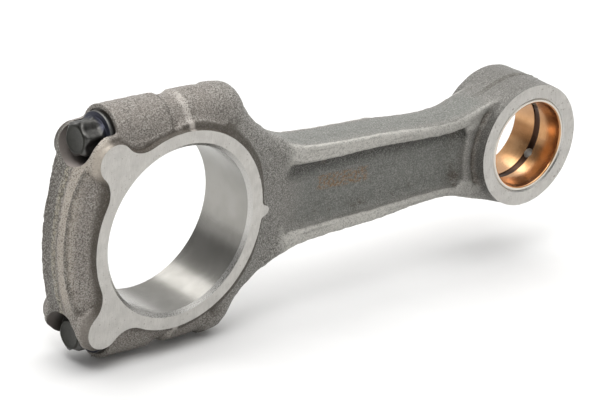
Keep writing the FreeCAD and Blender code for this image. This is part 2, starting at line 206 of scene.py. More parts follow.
def shank_field(g):
    """Shoulder and shank, with the recesses of the web and the hollows by the eye."""
    x, z, ay = g.x, g.z, g.ay
    low_z = np.abs(z + SHANK_DROP)
    half = outline_half(x)
    slope = np.gradient(half.ravel(), g.voxel).astype(np.float32)[:, None, None]
    lean = 1.0 / np.sqrt(1.0 + slope * slope)

    # drafted slab, half-round at the bosses, square further on
    thick = SHANK_THICK + 2.5 * fall(x, 50.0, 96.0)
    waist = rise(x, 150.0, 188.0) * fall(x, 212.0, 236.0)
    edge = 1.7 + 10.9 * fall(x, 50.0, 96.0) + 2.6 * waist
    crown = (0.03 + 0.07 * waist) * ay
    shank = round_max((low_z - half + crown + 0.25) * lean, ay - thick, edge)
    shank = np.maximum(shank, np.maximum(SHANK_START - x, x - SHANK_END))

    # recess: its floor climbs to the big end, its far end runs round the eye
    upper_lip = 10.4 - 2.2 * rise(x, 95.0, 150.0) - 4.0 * rise(x, 222.0, 240.0)
    lower_lip = 8.2 - 1.4 * rise(x, 90.0, 160.0)
    lip = np.where(z > 0, upper_lip, lower_lip)
    side = (low_z - half + lip) * lean
    ends = round_max(56.0 - x, 46.7 - 9.0 * rise(z, 14.0, 23.0) - g.eye_r, 4.0)
    pocket = round_max(side, ends, 9.0) + 0.16 * (SHANK_THICK - ay)
    web = WEB_THICK + 10.5 * fall(x, 52.0, 118.0)
    pocket = round_max(pocket, web - ay, 5.5)
    shank = round_max(shank, -pocket, 1.9)

    # hollow between the rim of the recess and the small end
    hollow = np.sqrt((g.eye_r - 38.8) ** 2 + (ay - 14.2) ** 2) - 2.7
    hollow = round_max(hollow, np.abs(z - 2.0) - 25.0, 5.0)
    hollow = round_max(hollow, x - SHANK_END, 3.0)
    return round_max(shank, -hollow, 1.4)


def boss_field(g):
    """Round bosses about the bolts, with the shallow relief at the split."""
    relief = rise(g.x, -8.6, -6.9) * fall(g.x, 0.5, 5.2)
    taper = 0.2 * rise(g.x, -5.0, 5.0) + 1.1 * rise(g.x, 12.0, 40.0)
    boss = np.sqrt(g.y * g.y + (g.az - BOSS_Z) ** 2) - (BOSS_RAD - taper - 1.9 * relief)
    boss = round_max(boss, g.x - BOSS_END, 6.0)
    seat = np.where(g.z > 0, SEAT_X, LOW_SEAT_X)
    return np.maximum(boss, seat - 0.6 - g.x)


def ear_field(g):
    """Ears of the cap beside the bolt heads, standing up round the seats."""
    ear = np.sqrt((g.x + EAR_AT) ** 2 + (g.az - EAR_AT) ** 2) - EAR_RAD
    return round_max(ear - 0.1 * (17.0 - g.ay), g.ay - EAR_THICK, 2.2)


def cap_face_outline():
    """Machined outline of the cap: ring and lobes with their fillets."""
    ring, lobe, offset, fillet = 56.5, 10.4, 47.5, 14.0
    reach = offset * math.sqrt(2)
    far, near = ring + fillet, lobe + fillet
    along = (far * far - near * near + reach * reach) / (2 * reach)
    heading = 135 - math.degrees(math.acos(along / far))
    turn = math.radians(heading)
    first = (far * math.cos(turn), far * math.sin(turn))
    to_lobe = math.degrees(math.atan2(offset - first[1], -offset - first[0]))
    from_lobe = to_lobe + 180
    upper = arc_points((0, 0), ring, 60, heading, 14)
    upper += arc_points(first, fillet, 180 + heading, to_lobe + 360, 12)
    near_side = len(upper)
    upper += arc_points((-offset, offset), lobe, from_lobe, 270 - from_lobe, 30)
    upper += [(-z, -x) for x, z in reversed(upper[:near_side])]
    upper = [(x, z) for x, z in upper if z > 0.5]
    lower = [(x, -z) for x, z in reversed(upper)]
    return [(SHANK_START, 48.0)] + upper + lower + [(SHANK_START, -48.0)]


def pads_field(g):
    """Pads that are machined to the faces: ring, nub and the cap's lobes, drafted."""
    x, z = g.x, g.z
    draft = 0.12 * (BIG_FACE - g.ay)
    ring = g.big_r - RING_RAD - draft
    nub = np.sqrt((x - NUB_X) ** 2 + z * z) - NUB_RAD - 0.5 * draft
    ring = np.maximum(round_min(ring, nub, 3.0), -x - 2.0)
    face = polygon_distance(cap_face_outline(), x[:, :, 0:1], z[:, 0:1, :])
    face = np.maximum(face - draft, x - 2.0)
    return np.maximum(np.minimum(ring, face), g.ay - STOCK_FACE)


def arch_field(g):
    """Arched back of the cap: a crest that widens to its ends, and sloping sides."""
    ay = g.ay
    arch_r = np.sqrt((g.x - ARCH_X) ** 2 + (g.z - ARCH_Z) ** 2)
    crest = np.where(g.y > 0, 10.4, 8.7) + 2.8 * rise(np.abs(g.z - ARCH_Z), 18.0, 45.0)
    rib = arch_r - ARCH_RAD + 0.002 * ay * ay
    rib = round_max(rib, ay - crest - 0.7, 0.9)
    rib = np.maximum(rib, g.az - 50.0)
    down = np.clip((ay - crest) / (16.6 - crest), 0.0, 1.3)
    slopes = 0.58 * (arch_r - 112.7 + 12.4 * down + 2.4 * down * (1.0 - down))
    slopes = np.where(ay < crest - 0.8, 0.58 * (arch_r - 111.8), slopes)
    back = np.minimum(rib, slopes)
    back = np.maximum(back, np.maximum(ay - ARCH_THICK, g.x + 20.0))
    back = np.maximum(back, g.az - 55.0)
    return np.maximum(back, 44.0 - g.big_r)


def forging_field(g):
    """The raw forging of rod and cap in one piece, before any machining."""
    base = np.maximum(g.big_r - BASE_RAD, g.ay - BASE_THICK)
    base = np.maximum(base, -g.x - 44.0)
    eye = g.eye_r - EYE_RAD - 0.02 * (EYE_FACE - g.ay)
    eye = np.maximum(eye, g.ay - STOCK_FACE)
    body = round_min(shank_field(g), np.maximum(base, -g.x - 1.0), 6.0)
    joined = (
        (boss_field(g), 5.0), (base, 3.0), (ear_field(g), 2.5),
        (arch_field(g), 1.2), (pads_field(g), 1.2), (eye, 4.0),
    )
    for feature, fillet in joined:
        body = round_min(body, feature, fillet)
    return body


def add_flash(g, body):
    """Trimmed flash along the parting plane, on the outside of the forging."""
    ragged = band_noise(g, 14.0, 2.2, seed=11)
    eye_side = rise(g.x, 215.0, 240.0)
    cap_side = fall(g.x, -48.0, -40.0)
    height = 0.16 + 0.30 * eye_side + 0.45 * cap_side
    width = 1.1 + 0.3 * eye_side + 1.0 * cap_side
    ridge = np.exp(-((g.y / width) ** 4)) * height * (0.75 + 0.5 * ragged)
    return body - np.where(g.big_r < 52.0, 0.0, np.clip(ridge, -0.1, 0.8))


class Hollows:
    """How hollow or exposed the forging is, near by and further around."""

    def __init__(self, g, body):
        self.grid = g
        solid = np.clip(0.5 - body / g.voxel, 0.0, 1.0)
        self.shares = {"near": self.blurred(solid, 1.3), "wide": self.blurred(solid, 4.5)}

    def blurred(self, solid, reach):
        """Share of solid around each point, weighed by a bell `reach` mm wide."""
        g = self.grid
        spectrum = np.fft.rfftn(solid)
        for axis, count in enumerate(g.shape):
            freq = (np.fft.rfftfreq if axis == 2 else np.fft.fftfreq)(count, g.voxel)
            bell = np.exp(-2.0 * (math.pi * reach * freq) ** 2)
            spectrum *= bell.reshape([-1 if i == axis else 1 for i in range(3)])
        return np.fft.irfftn(spectrum, s=g.shape).astype(np.float32)

    def store(self, obj):
        """Writes the shares on an object's points, for its material."""
        g = self.grid
        points = np.empty(len(obj.data.vertices) * 3, np.float32)
        obj.data.vertices.foreach_get("co", points)
        spots = (points.reshape(-1, 3) / MM - g.low) / g.voxel
        spots = np.clip(spots, 0.0, np.array(g.shape) - 1.001)
        corner = spots.astype(int)
        part = spots - corner
        for name, share in self.shares.items():
            total = np.zeros(len(spots))
            for step in np.ndindex(2, 2, 2):
                weight = np.prod(np.where(step, part, 1.0 - part), axis=1)
                at = corner + np.array(step)
                total += weight * share[at[:, 0], at[:, 1], at[:, 2]]
            layer = obj.data.attributes.new("hollow_" + name, "FLOAT", "POINT")
            layer.data.foreach_set("value", total.astype(np.float32))


def forged_blank():
    """Mesh of the forging with its flash and its uneven skin, and its hollows."""
    g = Grid(GRID_LOW, GRID_HIGH, VOXEL)
    body = forging_field(g)
    hollows = Hollows(g, body)
    body = add_flash(g, body)
    rough = 0.10 * band_noise(g, 30.0, 6.0, seed=3)
    rough = rough + 0.06 * band_noise(g, 6.0, 2.0, seed=5)
    calm = 1.0 - 0.7 * rise(g.ay, 16.5, 19.0)
    return g.mesh("blank", body + rough * calm), hollows


# ------------------------------------------------------------------ machining

# material slots of the machined forging, and the materials in that order
FORGED, GROUND, BORED, CHAMFER, FRACTURE, DRILLED = range(6)
SKINS = []


def mesh_object(name, vertices, faces, slots=None):
    mesh = bpy.data.meshes.new(name)
    mesh.from_pydata([Vector(v) * MM for v in vertices], [], faces)
    if slots is not None:
        for skin in SKINS:
            mesh.materials.append(skin)
        mesh.polygons.foreach_set("material_index", slots)
    mesh.update()
    return add_object(name, mesh)


def lathe(name, profile, axis, centre, segments=256):
    """Closed solid of revolution from (radius, height, slot of the next band)."""
    turn = Vector((0, 0, 1)).rotation_difference(Vector(axis)).to_matrix().to_4x4()
    place = Matrix.Translation(Vector(centre)) @ turn
    vertices, faces, slots, rings = [], [], [], []
    for radius, height, _ in profile:
        if radius < 1e-6:
            rings.append([len(vertices)])
            vertices.append(place @ Vector((0, 0, height)))
            continue
        rings.append(list(range(len(vertices), len(vertices) + segments)))
        for k in range(segments):
            a = 2 * math.pi * k / segments
            spot = Vector((radius * math.cos(a), radius * math.sin(a), height))
            vertices.append(place @ spot)
    for (low, high), (_, _, slot) in zip(zip(rings, rings[1:]), profile):
        for k in range(segments):
            n = (k + 1) % segments
            if len(low) == 1:
                face = (low[0], high[k], high[n])
            elif len(high) == 1:
                face = (low[k], high[0], low[n])
            else:
                face = (low[k], high[k], high[n], low[n])
            faces.append(face)
            slots.append(slot)
    return mesh_object(name, vertices, faces, slots)


def ring_faces(count, around, closed=False):
    """Quads between each ring of points and the next one."""
    faces = []
    for i in range(count if closed else count - 1):
        low, high = i * around, (i + 1) % count * around
        for k in range(around):
            n = (k + 1) % around
            faces.append((low + k, low + n, high + n, high + k))
    return faces


def mill_tool(x_from, x_to, face, side):
    """Block that mills the forging down to a face, on one side of the rod."""
    ys = sorted((side * face, side * 30.0))
    corners = [(x, y, z) for x in (x_from, x_to) for y in ys for z in (-90, 90)]
    faces = [(0, 1, 3, 2), (4, 6, 7, 5), (0, 4, 5, 1), (2, 3, 7, 6), (0, 2, 6, 4), (1, 5, 7, 3)]
    return mesh_object("mill", corners, faces, [GROUND] * 6)


def bore_tool(radius, face, chamfer, centre_x, segments=256):
    """Cutter for a through bore with a chamfer at each face."""
    over = 4.0
    profile = [
        (0, -face - over, CHAMFER),
        (radius + chamfer + over, -face - over, CHAMFER),
        (radius, -face + chamfer, BORED),
        (radius, face - chamfer, CHAMFER),
        (radius + chamfer + over, face + over, CHAMFER),
        (0, face + over, CHAMFER),
    ]
    return lathe("bore_tool", profile, (0, 1, 0), (centre_x, 0, 0), segments)


def drill_tool(radius, start, finish, centre, axis, segments, slot=DRILLED, point=0.0):
    """Round cutter along an axis, its far end pointed like a drill if asked."""
    profile = [(0, start), (radius, start), (radius, finish), (0, finish + point)]
    profile = [(rad, height, slot) for rad, height in profile]
    return lathe("drill_tool", profile, axis, centre, segments)


def oil_drill(side, slot=DRILLED):
    """Cutter for one of the two oil holes in the crown of the small end."""
    angle = math.radians(side * OIL_ANGLE)
    way = (math.cos(angle), 0, math.sin(angle))
    return drill_tool(OIL_HOLE, OIL_START, OIL_END, (CENTRES, 0, 0), way, 48, slot)


def combine(target, tool, operation="DIFFERENCE", keep_tool=False):
    """Boolean of two closed meshes; the cut faces keep the tool's slots."""
    modifier = target.modifiers.new("cut", "BOOLEAN")
    modifier.object = tool
    modifier.operation = operation
    modifier.solver = "MANIFOLD"
    bpy.context.view_layer.update()
    graph = bpy.context.evaluated_depsgraph_get()
    made = bpy.data.meshes.new_from_object(target.evaluated_get(graph))
    target.modifiers.clear()
    old = target.data
    target.data = made
    bpy.data.meshes.remove(old)
    if not keep_tool:
        bpy.data.objects.remove(tool)


def fracture_tool():
    """Box on the cap's side of the split, its face as rough as a fracture."""
    step, half_y, half_z, back_x = 0.8, 24.0, 76.0, -90.0
    ys = np.arange(-half_y, half_y + 0.01, step)
    zs = np.arange(-half_z, half_z + 0.01, step)
    rng = np.random.default_rng(21)
    rough = rng.standard_normal((len(ys), len(zs)))
    coarse = rng.standard_normal((len(ys), len(zs)))
    fy = np.fft.fftfreq(len(ys), step)[:, None]
    fz = np.fft.fftfreq(len(zs), step)[None, :]
    gain = np.exp(-((np.hypot(fy, fz) * 7.0) ** 2))
    coarse = np.fft.ifft2(np.fft.fft2(coarse) * gain).real
    height = 0.10 * rough + 0.22 * coarse / coarse.std()
    rows, count = len(ys), len(zs)
    vertices = [
        (float(height[i, j]), float(ys[i]), float(zs[j])) for i in range(rows) for j in range(count)
    ]
    faces = []
    for i in range(rows - 1):
        for j in range(count - 1):
            a = i * count + j
            faces.append((a, a + 1, a + count + 1, a + count))
    rim = [i * count for i in range(rows)]
    rim += [(rows - 1) * count + j for j in range(1, count)]
    rim += [i * count + count - 1 for i in range(rows - 2, -1, -1)]
    rim += [j for j in range(count - 2, 0, -1)]
    start, total = len(vertices), len(rim)
    vertices += [(back_x, vertices[index][1], vertices[index][2]) for index in rim]
    for k in range(total):
        n = (k + 1) % total
        faces.append((rim[k], rim[n], start + n, start + k))
    faces.append(tuple(range(start, start + total)))
    return mesh_object("fracture_tool", vertices, faces, [FRACTURE] * len(faces))


def machined_blank():
    """The forging after milling, grinding and boring, still in one piece."""
    blank, hollows = forged_blank()
    for skin in SKINS:
        blank.data.materials.append(skin)
    for side in (-1, 1):
        combine(blank, mill_tool(-90, 120, BIG_FACE, side))
        combine(blank, mill_tool(200, 320, EYE_FACE, side))
    combine(blank, bore_tool(BIG_BORE, BIG_FACE, BIG_CHAMFER, 0, segments=360))
    combine(blank, bore_tool(EYE_BORE, EYE_FACE, EYE_CHAMFER, CENTRES))
    for side in (-1, 1):
        seat_x = SEAT_X if side > 0 else LOW_SEAT_X
        centre, along = (0, 0, side * BOLT_Z), (1, 0, 0)
        combine(blank, drill_tool(SEAT_RAD, -100.0, seat_x, centre, along, 128))
        end = seat_x + HOLE_DEPTH
        combine(blank, drill_tool(BOLT_HOLE, -60.0, end, centre, along, 64, point=3.0))
        combine(blank, oil_drill(side))
    return blank, hollows


def finish_surface(obj, material=None, angle=32.0):
    """Material, smooth shading and sharp edges of a finished piece."""
    if material is not None:
        obj.data.materials.clear()
        obj.data.materials.append(material)
    obj.data.polygons.foreach_set("use_smooth", [True] * len(obj.data.polygons))
    obj.data.set_sharp_from_angle(angle=math.radians(angle))
    obj.data.update()


# ------------------------------------------------------------------ materials


class Graph:
    """Short way of writing a node tree."""

    def __init__(self, tree):
        self.tree = tree
        tree.nodes.clear()

    def feed(self, socket, value):
        """Links a socket to another one, or sets it to a number or a tuple."""
        if isinstance(value, tuple) and socket.type == "RGBA":
            socket.default_value = (*value, 1.0)
        elif isinstance(value, (int, float, tuple)):
            socket.default_value = value
        else:
            self.tree.links.new(value, socket)

    def node(self, kind, inputs, **settings):
        made = self.tree.nodes.new("ShaderNode" + kind)
        for name, value in settings.items():
            setattr(made, name, value)
        for key, value in inputs.items():
            self.feed(made.inputs[key], value)
        return made

    def ramp(self, value, low, high, out_low=0.0, out_high=1.0):
        """Smooth step between two outputs while the value goes from low to high."""
        span = {"From Min": low, "From Max": high, "To Min": out_low, "To Max": out_high}
        inputs = {"Value": value, **span}
        return self.node("MapRange", inputs, interpolation_type="SMOOTHSTEP").outputs[0]

    def math(self, operation, a, b=None, clamp=False):
        inputs = {0: a} if b is None else {0: a, 1: b}
        return self.node("Math", inputs, operation=operation, use_clamp=clamp).outputs[0]

    def product(self, *factors):
        total = factors[0]
        for factor in factors[1:]:
            total = self.math("MULTIPLY", total, factor)
        return total

    def window(self, value, start, full, wane, end):
        """Up from start to full, down again from wane to end."""
        return self.product(self.ramp(value, start, full), self.ramp(value, end, wane))

    def dot(self, vector, way):
        made = self.node("VectorMath", {0: vector, 1: way}, operation="DOT_PRODUCT")
        return made.outputs["Value"]


class Nodes(Graph):
    """Node material on a principled shader; x, y and z are the point's place in mm."""

    def __init__(self, name):
        self.material = bpy.data.materials.new(name)
        self.material.use_nodes = True
        super().__init__(self.material.node_tree)
        self.shader = self.node("BsdfPrincipled", {})
        self.out = self.node("OutputMaterial", {0: self.shader.outputs[0]})
        place = self.node("TexCoord", {}).outputs["Object"]
        self.place = self.scaled((1000, 1000, 1000), place)
        self.x, self.y, self.z = self.node("SeparateXYZ", {0: self.place}).outputs

    def scaled(self, scale, source=None):
        return self.node("Mapping", {"Scale": scale, "Vector": source or self.place}).outputs[0]

    def noise(self, size, detail=3.0, rough=0.55, stretch=None):
        """Noise whose features are about `size` mm across."""
        source = self.place if stretch is None else self.scaled(stretch)
        inputs = {"Scale": 1.0 / size, "Detail": detail, "Roughness": rough, "Vector": source}
        return self.node("TexNoise", inputs).outputs["Fac"]

    def mix(self, factor, a, b):
        inputs = {"Factor": factor, 6: a, 7: b}
        return self.node("Mix", inputs, data_type="RGBA").outputs[2]

    def stored(self, name):
        """A measure written on the mesh."""
        return self.node("Attribute", {}, attribute_name=name).outputs["Fac"]

    def bump(self, height, distance, strength):
        inputs = {"Strength": strength, "Distance": distance * MM, "Height": height}
        return self.node("Bump", inputs).outputs[0]

    def finish(self, colour, roughness, metallic, normal=None):
        made = {"Base Color": colour, "Roughness": roughness, "Metallic": metallic}
        if normal is not None:
            made["Normal"] = normal
        for name, value in made.items():
            self.feed(self.shader.inputs[name], value)
        return self.material


class ForgedSkin(Nodes):
    """Shot-blasted forging: granular, brown in its corners, bright where it's worn, with painted
    shade and painted highlights in places.
    """

    def __init__(self):
        super().__init__("forged_steel")
        self.off = self.math("ABSOLUTE", self.y)
        self.grain = self.noise(0.78, 2.0, 0.6)
        self.coarse = self.noise(1.7, 3.0, 0.6)
        self.patch = self.noise(7.0, 3.0, 0.6)
        self.on_shank = self.window(self.x, 62.0, 90.0, 226.0, 236.0)
        self.on_rib = self.ramp(self.x, -50.0, -58.0)
        ring_walls = self.ramp(self.off, 16.3, 17.4)
        cap_walls = self.product(self.ramp(self.off, 14.2, 16.8), self.ramp(self.x, -38.0, -46.0))
        walls = self.math("MAXIMUM", ring_walls, cap_walls)
        past_face = self.ramp(self.off, 20.3, 19.6)
        self.walls = self.product(walls, past_face, self.ramp(self.x, 225.0, 200.0))
        self.skin = None

    def coat(self, colour, *masks):
        """Covers the skin with a colour where all the masks are up."""
        self.skin = self.mix(self.product(*masks), self.skin, colour)

    def even_skin(self):
        """Warm on the cap, cooler and greener on the shank and in its web."""
        cloud = self.noise(30.0, 2.0, 0.5)
        warm = self.mix(self.patch, (0.250, 0.222, 0.196), (0.290, 0.266, 0.242))
        cool = self.mix(self.patch, (0.222, 0.221, 0.205), (0.262, 0.256, 0.240))
        web = self.mix(self.patch, (0.196, 0.202, 0.186), (0.222, 0.226, 0.210))
        cap_side = self.ramp(self.x, 60.0, 0.0)
        warmth = self.math("ADD", cap_side, self.product(cloud, 0.3), clamp=True)
        self.skin = self.mix(warmth, cool, warm)
        self.coat(web, self.on_shank, self.ramp(self.off, 11.5, 6.0))

    def worn_flanges(self):
        along = self.window(self.x, 75.0, 84.0, 228.0, 243.0)
        front = self.window(self.off, 10.6, 12.0, 14.0, 15.0)
        height = self.math("ABSOLUTE", self.math("ADD", self.z, SHANK_DROP))
        outer = self.ramp(height, 14.5, 17.0)
        fading = self.ramp(self.x, 150.0, 215.0, 1.0, 0.6)
        spotty = self.ramp(self.coarse, 0.36, 0.52, 0.55, 1.0)
        self.coat((0.60, 0.585, 0.545), along, front, outer, fading, spotty)

    def shaded_walls(self):
        """Rust round the machined faces, shade under the upper flange and by the eye."""
        self.coat((0.062, 0.051, 0.038), self.walls, 0.85)
        shade = self.window(self.z, 5.0, 13.5, 19.0, 22.5)
        inside = self.ramp(self.off, 12.4, 10.2)
        self.coat((0.035, 0.036, 0.031), self.on_shank, shade, inside, 0.95)
        self.coat((0.125, 0.122, 0.112), self.ramp(self.x, 226.0, 250.0), 0.5)
        eye_wall = self.window(self.x, 214.0, 220.0, 232.0, 240.0)
        self.coat((0.06, 0.056, 0.05), eye_wall, self.ramp(self.off, 12.2, 15.2), 0.55)

    def split_relief(self):
        """The relief's foot in painted shade, its slope with a painted highlight, stronger on the
        near side.
        """
        tall = self.ramp(self.math("ABSOLUTE", self.z), 50.0, 56.0)
        # painted shade at the relief's foot
        foot = self.window(self.x, -10.2, -8.6, -7.2, -6.2)
        self.coat((0.075, 0.065, 0.052), tall, foot, 0.65)
        # painted highlight on the slope that faces the key light, stronger on the near side
        slope = self.window(self.x, 0.8, 2.6, 4.0, 6.0)
        nearer = self.ramp(self.y, 8.0, -8.0, 0.35, 1.0)
        self.coat((0.72, 0.67, 0.62), tall, slope, nearer, 0.62)

    def stained_web(self):
        """Brown stain in the middle of the web, on the front."""
        tilted = self.math("ADD", self.z, self.product(self.x, 0.03))
        patch_x = self.window(self.x, 108.0, 111.0, 146.0, 149.0)
        patch_z = self.window(tilted, -1.2, 0.6, 7.6, 9.4)
        spotty = self.ramp(self.coarse, 0.44, 0.56)
        front = self.ramp(self.y, 0.0, -2.0)
        self.coat((0.27, 0.155, 0.07), patch_x, patch_z, spotty, front, 0.85)

    def cap_rib(self):
        """Painted highlight on the rib's near side and top end, painted shade on its far side and
        in its creases, and paler lower slopes as painted light.
        """
        # painted highlight: light colour on the rib's near side and its top end
        near_side = self.ramp(self.y, -2.6, -4.0)
        band = self.product(self.on_rib, near_side, self.ramp(self.y, -12.5, -8.4),
                            self.ramp(self.z, -46.0, -30.0))
        top_end = self.product(self.ramp(self.x, -48.0, -53.0), near_side,
                               self.ramp(self.z, 34.0, 43.0))
        self.coat((0.56, 0.50, 0.43), self.math("MAXIMUM", band, top_end), 0.85)
        # painted shade on the rib's far side
        self.coat((0.105, 0.097, 0.084), self.on_rib, self.ramp(self.y, 0.5, 2.5), 0.8)
        # painted shade along the creases at the crest's edges
        height_off = self.math("ABSOLUTE", self.math("SUBTRACT", self.z, ARCH_Z))
        crest = self.ramp(height_off, 18.0, 45.0, 8.9, 11.7)
        edge_off = self.math("SUBTRACT", self.off, crest)
        crease = self.ramp(self.math("ABSOLUTE", edge_off), 0.75, 0.25)
        self.coat((0.07, 0.06, 0.048), self.ramp(self.x, -52.0, -56.0), crease,
                  self.ramp(height_off, 44.0, 36.0), 0.75)
        # painted light: paler lower slopes beyond the crest
        self.coat((0.47, 0.43, 0.39), self.on_rib, self.ramp(self.z, -8.0, -30.0),
                  self.ramp(edge_off, 0.3, 1.2), 0.35)

    def trimmed_flash(self):
        ends = self.math("MAXIMUM", self.on_rib, self.ramp(self.x, 225.0, 245.0))
        bare = self.ramp(self.coarse, 0.42, 0.58)
        scar = self.mix(bare, (0.105, 0.09, 0.06), (0.46, 0.42, 0.31))
        scar = self.mix(self.ramp(self.x, 200.0, 225.0), scar, (0.085, 0.078, 0.062))
        self.coat(scar, self.ramp(self.off, 2.4, 1.2), ends, 0.7)

    def corners_and_edges(self):
        """Corners gather brown oxide and painted shade, exposed edges are rubbed bright."""
        near, wide = self.stored("hollow_near"), self.stored("hollow_wide")
        sharp = self.ramp(near, 0.55, 0.68)
        broad = self.product(self.ramp(wide, 0.56, 0.72), 0.6)
        # brown oxide and painted shade in the corners, from the stored hollow measures
        rust_and_shade = self.mix(self.patch, (0.070, 0.058, 0.046), (0.115, 0.094, 0.072))
        self.coat(rust_and_shade, self.math("ADD", sharp, broad, clamp=True), 0.85)
        spotty = self.ramp(self.coarse, 0.4, 0.55, 0.3, 1.0)
        self.coat((0.43, 0.41, 0.375), self.ramp(near, 0.42, 0.30), spotty, 0.4)

    def grains(self):
        """Grain, stronger on the cap and shoulder than on the rubbed flanges."""
        rubbed = self.product(self.ramp(self.x, 70.0, 95.0), 0.45)
        strength = self.product(
            self.math("SUBTRACT", 1.0, rubbed),
            self.math("SUBTRACT", 1.0, self.product(self.walls, 0.8)),
            self.ramp(self.patch, 0.3, 0.7, 0.7, 1.15),
        )
        self.coat((0.085, 0.075, 0.064), self.ramp(self.grain, 0.50, 0.37), strength, 0.70)
        self.coat((0.52, 0.50, 0.465), self.ramp(self.grain, 0.50, 0.62), strength, 0.58)
        streaks = self.noise(1.3, 2.0, 0.5, stretch=(0.03, 1.0, 1.0))
        self.coat((0.12, 0.115, 0.105), self.ramp(self.x, 80.0, 100.0),
                  self.ramp(streaks, 0.45, 0.30), 0.30)
        fine = self.product(self.grain, strength)
        height = self.math("ADD", fine, self.product(self.coarse, 0.9))
        return self.bump(height, 0.55, 1.0)


def forged_material():
    n = ForgedSkin()
    n.even_skin()
    n.worn_flanges()
    n.shaded_walls()
    n.split_relief()
    n.stained_web()
    n.cap_rib()
    n.trimmed_flash()
    n.corners_and_edges()
    normal = n.grains()
    return n.finish(n.skin, n.ramp(n.grain, 0.35, 0.65, 0.62, 0.46), 0.3, normal)


def ground_material():
    """Ground face: pale, with fine lines and a few left-over pits."""
    n = Nodes("ground_steel")
    lines = n.noise(0.35, 2.0, 0.6, stretch=(1.0, 1.0, 0.06))
    cloud = n.noise(7.0, 3.0, 0.55)
    grain = n.noise(0.5, 2.0, 0.6)
    pits = n.ramp(n.noise(1.25, 1.0, 0.4), 0.68, 0.73)
    colour = n.mix(n.ramp(cloud, 0.3, 0.7), (0.485, 0.47, 0.445), (0.56, 0.545, 0.515))
    colour = n.mix(n.product(n.ramp(lines, 0.35, 0.65), 0.30), colour, (0.36, 0.345, 0.32))
    colour = n.mix(n.product(n.ramp(grain, 0.45, 0.30), 0.35), colour, (0.25, 0.235, 0.215))
    colour = n.mix(n.product(pits, 0.6), colour, (0.16, 0.13, 0.11))
    rough = n.ramp(lines, 0.3, 0.7, 0.34, 0.46)
    return n.finish(colour, rough, 0.75, n.bump(lines, 0.03, 0.5))


def bored_material():
    """Fine-bored wall with faint turning marks, darker towards its top as painted shade."""
    n = Nodes("bored_steel")
    rings = n.noise(0.25, 2.0, 0.5, stretch=(0.02, 1.0, 0.02))
    cloud = n.noise(14.0, 2.0, 0.5)
    colour = n.mix(n.ramp(cloud, 0.3, 0.7), (0.285, 0.278, 0.258), (0.33, 0.322, 0.302))
    # painted shade: the wall's colour darkens towards its top
    colour = n.mix(n.ramp(n.z, -5.0, 35.0, 0.0, 0.45), colour, (0.17, 0.17, 0.155))
    rough = n.ramp(rings, 0.3, 0.7, 0.19, 0.26)
    return n.finish(colour, rough, 0.95, n.bump(rings, 0.02, 0.4))


def chamfer_material():
    n = Nodes("chamfer_steel")
    rings = n.noise(0.3, 2.0, 0.5)
    colour = n.mix(n.ramp(rings, 0.3, 0.7), (0.44, 0.43, 0.41), (0.54, 0.53, 0.51))
    rough = n.ramp(rings, 0.3, 0.7, 0.22, 0.34)
    return n.finish(colour, rough, 0.95, n.bump(rings, 0.03, 0.4))


def fracture_material():
    """Cracked face: crystalline and bright in points."""
    n = Nodes("fracture_steel")
    facets = n.node("TexVoronoi", {"Scale": 1.0 / 0.7, "Vector": n.place}).outputs["Distance"]
    grain = n.noise(0.4, 4.0, 0.7)
    colour = n.mix(n.ramp(facets, 0.1, 0.6), (0.42, 0.41, 0.40), (0.22, 0.215, 0.21))
    height = n.math("ADD", facets, n.product(grain, 0.6))
    rough = n.ramp(grain, 0.3, 0.7, 0.5, 0.28)
    return n.finish(colour, rough, 0.85, n.bump(height, 0.35, 1.0))


def drilled_material():
    """Dark seats and holes, the seats' darkness a painted shade; paler at the seats' mouths as
    painted light, stronger on the near side, and paler in the oil holes.
    """
    n = Nodes("drilled_steel")
    rings = n.noise(0.5, 2.0, 0.5)
    # painted shade: seats and holes coloured near black
    colour = n.mix(n.ramp(rings, 0.3, 0.7), (0.060, 0.054, 0.046), (0.105, 0.094, 0.080))
    # painted light on the seats' mouths, more on the near side
    mouth = n.product(n.ramp(n.x, -49.0, -57.0), n.ramp(n.y, 9.0, -2.0, 0.35, 1.0))
    colour = n.mix(mouth, colour, (0.50, 0.445, 0.42))
    colour = n.mix(n.ramp(n.x, 210.0, 220.0), colour, (0.52, 0.50, 0.47))
    rough = n.ramp(rings, 0.3, 0.7, 0.32, 0.5)
    return n.finish(colour, rough, 0.25, n.bump(rings, 0.05, 0.6))


